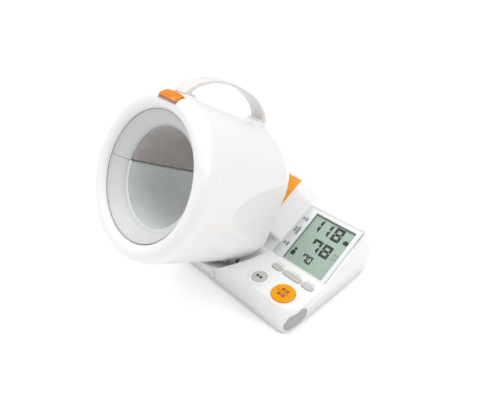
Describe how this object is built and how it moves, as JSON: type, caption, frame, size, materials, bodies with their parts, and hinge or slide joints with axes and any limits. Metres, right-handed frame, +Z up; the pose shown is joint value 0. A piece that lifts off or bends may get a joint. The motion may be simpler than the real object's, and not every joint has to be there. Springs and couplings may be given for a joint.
{
  "type": "arm-in blood pressure monitor",
  "caption": "Upper arm blood pressure monitor: a tilting barrel with a fabric-lined arm opening on a low base, and a sloped console with a display, keys and round buttons.",
  "frame": {"origin": "middle of the bounding box at the table", "axes": "+Z up, -Y towards the seated user, +X towards the console on the user's right"},
  "size_m": [0.2356, 0.3119, 0.2241],
  "materials": {
    "white_shell": "gloss",
    "inner_plastic": "satin",
    "light_grey": "satin",
    "silver_trim": "satin",
    "orange": "gloss",
    "amber": "gloss",
    "grey_key": "satin",
    "dark_plastic": "satin",
    "clear_window": "polished",
    "lcd": "satin",
    "fabric_upper": "woven",
    "fabric_lower": "woven",
    "rubber_black": "matte",
    "rubber_grey": "matte",
    "circuit_board": "satin",
    "steel": "brushed",
    "pad_grey": "satin"
  },
  "bodies": {
    "base": {"base_tray": "white_shell", "deck_cover": "white_shell", "console_shell": "white_shell", "shoulder_trim": "orange", "elbow_pad": "pad_grey", "hinge_bracket": "inner_plastic", "hinge_pin": "steel", "lock_disc": "dark_plastic", "display_frame": "silver_trim", "display_window": "clear_window", "lcd_module": "lcd", "key_board": "circuit_board", "tact_switches": "dark_plastic", "main_board": "circuit_board", "air_pump": "steel", "exhaust_valve": "dark_plastic", "pressure_sensor": "dark_plastic", "air_hose": "rubber_black", "speaker_cover": "grey_key", "speaker": "dark_plastic", "adapter_socket": "dark_plastic", "rubber_feet": "rubber_grey", "case_screws": "steel"},
    "barrel": {"mouth_ring": "white_shell", "barrel_shell": "white_shell", "side_cover": "light_grey", "rear_ring": "white_shell", "inner_drum": "inner_plastic", "entry_funnel": "light_grey", "cuff_upper": "fabric_upper", "cuff_lower": "fabric_lower", "air_bladder": "rubber_black", "cuff_core": "inner_plastic", "bladder_nipple": "rubber_black", "handle_strap": "light_grey", "handle_front_seat": "white_shell", "handle_rear_seat": "white_shell", "handle_screws": "steel", "release_spring": "steel", "release_cable": "rubber_black", "hinge_bushes": "dark_plastic", "rear_ring_screws": "steel"},
    "start_button": {"start_button": "orange"},
    "stop_button": {"stop_button": "grey_key"},
    "key_left": {"key_left": "grey_key"},
    "key_middle": {"key_middle": "grey_key"},
    "key_right": {"key_right": "grey_key"},
    "release_button": {"release_button": "amber"},
    "lock_shoe": {"lock_shoe": "dark_plastic"}
  },
  "joints": [
    {"name": "barrel_tilt", "type": "hinge", "parent": "base", "child": "barrel", "pos_m": [-0.03475, -0.03449, 0.0207], "axis": [1, 0, 0], "range_deg": [-5, 8]},
    {"name": "start_press", "type": "slide", "parent": "base", "child": "start_button", "axis": [0, 0.0401, -0.9992], "range_m": [0, 0.001], "stiffness_N_per_m": 800, "springref_m": -0.0005},
    {"name": "stop_press", "type": "slide", "parent": "base", "child": "stop_button", "axis": [0, 0.0401, -0.9992], "range_m": [0, 0.001], "stiffness_N_per_m": 800, "springref_m": -0.0005},
    {"name": "key_left_press", "type": "slide", "parent": "base", "child": "key_left", "axis": [0, 0.0401, -0.9992], "range_m": [0, 0.001], "stiffness_N_per_m": 800, "springref_m": -0.0005},
    {"name": "key_middle_press", "type": "slide", "parent": "base", "child": "key_middle", "axis": [0, 0.0401, -0.9992], "range_m": [0, 0.001], "stiffness_N_per_m": 800, "springref_m": -0.0005},
    {"name": "key_right_press", "type": "slide", "parent": "base", "child": "key_right", "axis": [0, 0.0401, -0.9992], "range_m": [0, 0.001], "stiffness_N_per_m": 800, "springref_m": -0.0005},
    {"name": "release_press", "type": "slide", "parent": "barrel", "child": "release_button", "axis": [0, -0.5, -0.866], "range_m": [0, 0.002], "stiffness_N_per_m": 900, "springref_m": -0.0005},
    {"name": "lock_shoe_slide", "type": "slide", "parent": "barrel", "child": "lock_shoe", "axis": [0, -0.866, 0.5], "range_m": [0, 0.001]}
  ],
  "couplings": [
    {"joint": "lock_shoe_slide", "follows": "release_press", "ratio": 0.5}
  ]
}
